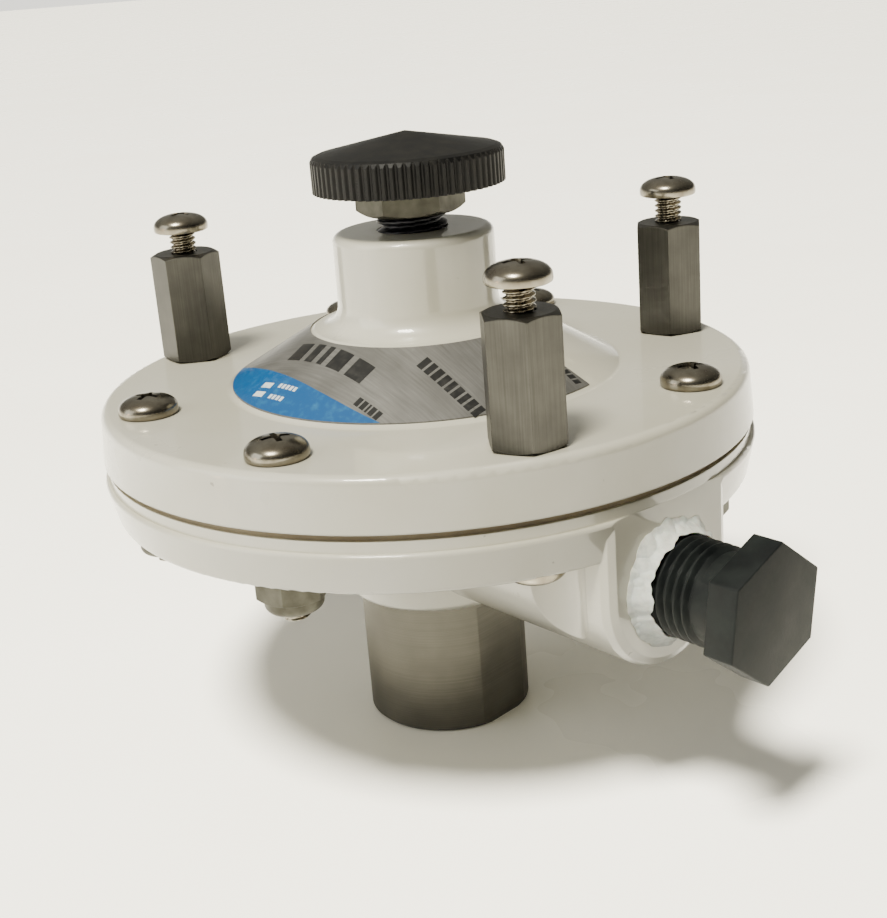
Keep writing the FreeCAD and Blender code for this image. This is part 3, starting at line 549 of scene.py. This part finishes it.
# ---------------------------------------------------------------- adjusting screw
# A coarse screw of blacked steel that runs through the tower's top.  Its rolled thread has
# sloped sides, and its plain upper end is moulded into the knob.
blacked, tree = finish("steel_black_oxide")
spot = add(tree, "ShaderNodeTexCoord").outputs["Object"]
oil = add(tree, "ShaderNodeTexNoise", {"Vector": spot, "Scale": 1 / 1.8e-3, "Detail": 6})
tone = add(tree, "ShaderNodeValToRGB", {"Fac": oil},
           [(0.4, linear("#14151a")), (0.75, linear("#34343a"))])
rough = add(tree, "ShaderNodeMapRange", {"Value": oil, "To Min": 0.28, "To Max": 0.5})
bumped = add(tree, "ShaderNodeBump", {"Height": oil, "Strength": 0.2, "Distance": 2e-5})
add(tree, "ShaderNodeOutputMaterial", {"Surface": add(tree, "ShaderNodeBsdfPrincipled", {
    "Base Color": tone, "Metallic": 0.6, "Roughness": rough, "Normal": bumped})})
screw_low, screw_high = (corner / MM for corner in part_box("adjusting_screw"))
ADJUSTER_CREST, ADJUSTER_ROOT, ADJUSTER_PITCH, PLAIN_END = 5.22, 4.3, 1.5, 4.2
rows = [(screw_low.z, 0), (screw_low.z, 3.2), (screw_low.z + 1.0, ADJUSTER_ROOT)]
step = ADJUSTER_PITCH / 14
for i in range(1, int((screw_high.z - PLAIN_END - screw_low.z - 1.0) / step)):
    height = screw_low.z + 1.0 + i * step
    rows.append((height, thread(ADJUSTER_ROOT, ADJUSTER_CREST, ADJUSTER_PITCH, height)))
rows += [(screw_high.z - PLAIN_END + 0.1, ADJUSTER_ROOT), (screw_high.z, ADJUSTER_ROOT),
         (screw_high.z, 0)]
adjuster = piece("adjusting_screw_threaded", *turned(rows, 96), blacked)
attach(adjuster, "adjuster")
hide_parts("adjusting_screw")

# ---------------------------------------------------------------- jam nut
# A thin hexagon of dull zinc-plated steel that is run up under the knob.  The nuts under the
# flange are of the same steel.
dull, tree = finish("steel_dull_zinc")
spot = add(tree, "ShaderNodeTexCoord").outputs["Object"]
cloud = add(tree, "ShaderNodeTexNoise", {"Vector": spot, "Scale": 1 / 2.4e-3, "Detail": 7})
tone = add(tree, "ShaderNodeValToRGB", {"Fac": cloud},
           [(0.35, linear("#56554b")), (0.7, linear("#434138"))])
rough = add(tree, "ShaderNodeMapRange", {"Value": cloud, "To Min": 0.42, "To Max": 0.62})
softened = add(tree, "ShaderNodeBevel", {"Radius": 2e-4}, samples=4)
bumped = add(tree, "ShaderNodeBump",
             {"Height": cloud, "Normal": softened, "Strength": 0.25, "Distance": 3e-5})
add(tree, "ShaderNodeOutputMaterial", {"Surface": add(tree, "ShaderNodeBsdfPrincipled", {
    "Base Color": tone, "Metallic": 0.75, "Roughness": rough, "Normal": bumped})})
dress(dull, "jam_nut", *[f"flange_nut_{number}" for number in range(1, 6)])

# ---------------------------------------------------------------- knob
# Phenolic resin moulded in one piece round the screw's end, fluted for a grip, with a shallow
# pointed top.  It is satin black, and grey with dust where hands and cloths don't reach.
phenolic, tree = finish("phenolic_resin_moulded")
spot = add(tree, "ShaderNodeTexCoord").outputs["Object"]
dust = add(tree, "ShaderNodeTexNoise", {"Vector": spot, "Scale": 1 / 2.5e-3, "Detail": 8})
tone = add(tree, "ShaderNodeValToRGB", {"Fac": dust},
           [(0.42, linear("#0b0b0b")), (0.8, linear("#201f1c"))])
rough = add(tree, "ShaderNodeMapRange", {"Value": dust, "To Min": 0.36, "To Max": 0.56})
grit = add(tree, "ShaderNodeTexNoise", {"Vector": spot, "Scale": 1 / 0.35e-3, "Detail": 2})
softened = add(tree, "ShaderNodeBevel", {"Radius": 1.6e-4}, samples=4)
bumped = add(tree, "ShaderNodeBump",
             {"Height": grit, "Normal": softened, "Strength": 0.4, "Distance": 3e-5})
add(tree, "ShaderNodeOutputMaterial", {"Surface": add(tree, "ShaderNodeBsdfPrincipled", {
    "Base Color": tone, "Roughness": rough, "Normal": bumped, "IOR": 1.55,
    "Specular IOR Level": 0.2})})
dress(phenolic, "knob")

# ---------------------------------------------------------------- outlet plug
# A taper-thread pipe plug moulded in glass-filled nylon: a thread, a plain neck and a solid
# hexagon with slightly soft edges.  It closes the side outlet.
nylon, tree = finish("nylon_glass_filled_moulded")
spot = add(tree, "ShaderNodeTexCoord").outputs["Object"]
scuff = add(tree, "ShaderNodeTexNoise", {"Vector": spot, "Scale": 1 / 3.5e-3, "Detail": 8})
tone = add(tree, "ShaderNodeValToRGB", {"Fac": scuff},
           [(0.38, linear("#0c1011")), (0.75, linear("#1c2120"))])
rough = add(tree, "ShaderNodeMapRange", {"Value": scuff, "To Min": 0.5, "To Max": 0.7})
fibre = add(tree, "ShaderNodeTexNoise", {"Vector": spot, "Scale": 1 / 0.5e-3, "Detail": 3})
bumped = add(tree, "ShaderNodeBump", {"Height": fibre, "Strength": 0.35, "Distance": 3e-5})
add(tree, "ShaderNodeOutputMaterial", {"Surface": add(tree, "ShaderNodeBsdfPrincipled", {
    "Base Color": tone, "Roughness": rough, "Normal": bumped, "IOR": 1.53,
    "Specular IOR Level": 0.18})})
plug_low, plug_high = (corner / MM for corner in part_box("outlet_plug"))
plug_height = (plug_low.z + plug_high.z) / 2
HEX_FLATS, HEX_LENGTH, HEX_TWIST = 16.6, 4.5, -8.4
PLUG_CREST, PLUG_ROOT, PLUG_PITCH, NECK, THREAD_LENGTH = 6.95, 6.2, 1.41, 6.3, 17.6
TIP_SHARE, TAPER_GAIN, RUNOUT, RUNOUT_LOSS = 0.88, 0.03, 1.2, 0.06
along_x = Matrix.Translation((0, 0, plug_height)) @ Matrix.Rotation(math.pi / 2, 4, "Y")
start = plug_low.x
rows = [(start, 0), (start, PLUG_ROOT - 0.8)]
step = PLUG_PITCH / 12
for i in range(1, int(THREAD_LENGTH / step)):
    height = start + i * step
    fade = min(1.0, TIP_SHARE + TAPER_GAIN * i * step)
    fade -= RUNOUT_LOSS * max(0.0, i * step - THREAD_LENGTH + RUNOUT)
    ridge = PLUG_ROOT + (PLUG_CREST - PLUG_ROOT) * fade
    rows.append((height, thread(PLUG_ROOT * min(1.0, fade + 0.06), ridge, PLUG_PITCH, height)))
hex_back = plug_high.x - HEX_LENGTH
rows += [(start + THREAD_LENGTH + 0.3, NECK), (hex_back - 0.25, NECK), (hex_back, NECK + 0.25),
         (hex_back + 1.0, NECK + 0.25), (hex_back + 1.0, 0)]
points, faces = turned(rows, 96)
plug = piece("outlet_plug_threaded", [along_x @ Vector(p) for p in points], faces, nylon)
corners = [math.radians(HEX_TWIST + 60 * i) for i in range(6)]
reach = HEX_FLATS / math.sqrt(3)
points = [along_x @ Vector((reach * math.cos(a), reach * math.sin(a), x))
          for x in (hex_back, plug_high.x) for a in corners]
faces = [tuple(range(6)), tuple(range(11, 5, -1))]
faces += [(i, 6 + i, 6 + (i + 1) % 6, (i + 1) % 6) for i in range(6)]
hexagon = piece("hex_tool", points, faces, nylon)
soften = hexagon.modifiers.new("soft", "BEVEL")
soften.width, soften.segments = 0.22 * MM, 3
settle(hexagon)
join(plug, hexagon, "UNION")
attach(plug, "casing")
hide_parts("outlet_plug")

# ---------------------------------------------------------------- thread tape
# Thin white tape wound on the plug's thread before it went in.  What the outlet scraped off
# stands round its mouth as a crumpled skirt: layered ribbons with ruffled, torn edges.
ptfe, tree = finish("ptfe_tape_skived")
spot = add(tree, "ShaderNodeTexCoord").outputs["Object"]
crumple = add(tree, "ShaderNodeTexNoise", {"Vector": spot, "Scale": 1 / 0.9e-3, "Detail": 7})
tone = add(tree, "ShaderNodeValToRGB", {"Fac": crumple},
           [(0.35, linear("#dadbd2")), (0.6, linear("#f1f1e8"))])
rough = add(tree, "ShaderNodeMapRange", {"Value": crumple, "To Min": 0.45, "To Max": 0.7})
bumped = add(tree, "ShaderNodeBump", {"Height": crumple, "Strength": 0.8, "Distance": 1.2e-4})
add(tree, "ShaderNodeOutputMaterial", {"Surface": add(tree, "ShaderNodeBsdfPrincipled", {
    "Base Color": tone, "Roughness": rough, "Normal": bumped, "IOR": 1.35,
    "Subsurface Weight": 0.15, "Subsurface Scale": 6e-4})})
mouth = (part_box("thread_tape")[0] / MM).x
points, faces = [], []
# Each ribbon: its inner radius, how far its skirt flares, how far it stands out, and a seed.
for inner, flare, stand, seed in ((6.95, 1.55, 2.1, 2.0), (7.0, 1.9, 1.5, 9.0),
                                  (7.05, 1.2, 2.5, 17.0)):
    around, across = 180, 9
    base = len(points)
    for i in range(around):
        angle = math.tau * i / around
        ring = Vector((math.cos(angle), math.sin(angle), seed))
        wave = noise.noise(ring * 2.3) * 0.55 + noise.noise(ring * 6.0) * 0.3
        for j in range(across):
            share = j / (across - 1)
            fold = noise.noise(Vector((angle * 5.0, share * 2.0, seed))) * 0.22
            r = inner + 0.08 + (flare * (1 + wave)) * (1 - share) ** 1.3 + abs(fold) * (1 - share)
            x = mouth + 0.06 + stand * (1 + wave * 0.8) * share + fold * 0.5 * (1 - share) ** 2
            points.append((max(x, mouth + 0.03), r * math.sin(angle),
                           plug_height + r * math.cos(angle)))
    for i in range(around):
        for j in range(across - 1):
            a, b = base + i * across + j, base + (i + 1) % around * across + j
            faces.append((a, b, b + 1, a + 1))
tape = piece("thread_tape_skirt", points, faces, ptfe, sharp=60)
thicken = tape.modifiers.new("thick", "SOLIDIFY")
thicken.thickness, thicken.offset = 0.14 * MM, 0.0
settle(tape, sharp=60)
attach(tape, "casing")
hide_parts("thread_tape")

# ---------------------------------------------------------------- floor
# A wide table top in pale satin laminate: it gives back a faint, blurred image of the foot.
laminate, tree = finish("laminate_satin_pale")
spot = add(tree, "ShaderNodeTexCoord").outputs["Object"]
mottle = add(tree, "ShaderNodeTexNoise", {"Vector": spot, "Scale": 1 / 0.09, "Detail": 4})
tone = add(tree, "ShaderNodeValToRGB", {"Fac": mottle},
           [(0.35, linear("#f5f3ea")), (0.7, linear("#f0ede3"))])
rough = add(tree, "ShaderNodeMapRange", {"Value": mottle, "To Min": 0.24, "To Max": 0.32})
add(tree, "ShaderNodeOutputMaterial", {"Surface": add(tree, "ShaderNodeBsdfPrincipled", {
    "Base Color": tone, "Roughness": rough, "IOR": 1.45})})
FLOOR_REACH = 14000
points, faces = turned([(0, 0), (0, 200), (0, 1000), (0, FLOOR_REACH)], 64)
floor = piece("floor", points, faces, laminate)
floor.location.z = -2e-5
# The room below the horizon lights the undersides, and not the floor, which would flatten them.
floor.visible_diffuse = False

# ---------------------------------------------------------------- light
# A soft source high on the left, the same light again for the table alone, so that the table
# stays nearly white, a window and a low warm glint.  The pale room is brightest at the horizon
# and dim on the right.
VIEW_AZIMUTH = math.radians(50.45)
view_turn = Matrix.Rotation(VIEW_AZIMUTH, 4, "Z")
FROM_KEY = (-0.27, -0.42, 1.0)


def lamp(name, kind, toward, strength, colour, **settings):
    """A light placed by its direction from the object, as the camera sees it."""
    data = bpy.data.lights.new(name, kind)
    data.energy, data.color = strength, linear(colour)[:3]
    for key, value in settings.items():
        setattr(data, key, value)
    made = bpy.data.objects.new(name, data)
    bpy.context.scene.collection.objects.link(made)
    away = view_turn @ Vector(toward).normalized()
    made.location = away * 1.2 + Vector((0, 0, 0.05))
    made.rotation_euler = away.to_track_quat("Z", "Y").to_euler()
    return made


SOFTNESS = math.radians(15)
lamp("key", "SUN", FROM_KEY, 5.0, "#fffaeb", angle=SOFTNESS)
wash = lamp("table_wash", "SUN", FROM_KEY, 11.0, "#fffbef", angle=SOFTNESS)
washed = bpy.data.collections.new("washed")
washed.objects.link(floor)
wash.light_linking.receiver_collection = washed
lamp("window", "AREA", (-0.9, -0.25, 0.40), 6, "#f6f8f4", shape="SQUARE", size=0.8)
lamp("glint", "AREA", (-0.96, -0.3, -0.02), 0.9, "#ffd0a8", shape="RECTANGLE", size=0.05, size_y=0.5)
world = bpy.data.worlds.new("pale_room")
bpy.context.scene.world = world
world.use_nodes = True
tree = world.node_tree
tree.nodes.clear()
sky = add(tree, "ShaderNodeTexCoord").outputs["Generated"]
height = add(tree, "ShaderNodeSeparateXYZ", {"Vector": sky}).outputs["Z"]
room = add(tree, "ShaderNodeValToRGB", {"Fac": height},
           [(0.0, linear("#c9c7bf")), (0.95, linear("#7d7b74")), (0.05, linear("#c9c7bf")),
            (0.16, linear("#5a5953"))])
BRIGHT_SIDE = view_turn @ Vector((-0.8, 0.55, 0.2)).normalized()
toward = add(tree, "ShaderNodeVectorMath", {0: sky, 1: BRIGHT_SIDE}, operation="DOT_PRODUCT")
level = add(tree, "ShaderNodeMapRange",
            {"Value": toward.outputs["Value"], "From Min": -0.75, "From Max": 0.6,
             "To Min": 0.5, "To Max": 2.9})
add(tree, "ShaderNodeOutputWorld", {"Surface": add(tree, "ShaderNodeBackground", {
    "Color": room, "Strength": level})})

# ---------------------------------------------------------------- camera
# A short tele view from a little above the cover, turned so that the outlet comes forward.
CAMERA_OUT, CAMERA_UP = 0.2130, 0.11326
PITCH, YAW, ROLL = 0.3289, 0.0087, -0.079
FOCAL_SHARE = 1448.4 / 887
data = bpy.data.cameras.new("camera")
data.sensor_fit, data.sensor_width = "HORIZONTAL", 36
data.lens = 36 * FOCAL_SHARE
data.clip_start, data.clip_end = 0.01, 40
camera = bpy.data.objects.new("camera", data)
bpy.context.scene.collection.objects.link(camera)
ahead = Vector((math.sin(YAW) * math.cos(PITCH), math.cos(YAW) * math.cos(PITCH),
                -math.sin(PITCH)))
level = ahead.cross(Vector((0, 0, 1))).normalized()
upright = level.cross(ahead)
right = level * math.cos(ROLL) + upright * math.sin(ROLL)
up = upright * math.cos(ROLL) - level * math.sin(ROLL)
turn = Matrix((right, up, -ahead)).transposed().to_4x4()
camera.matrix_world = view_turn @ Matrix.Translation((0, -CAMERA_OUT, CAMERA_UP)) @ turn
bpy.context.scene.camera = camera
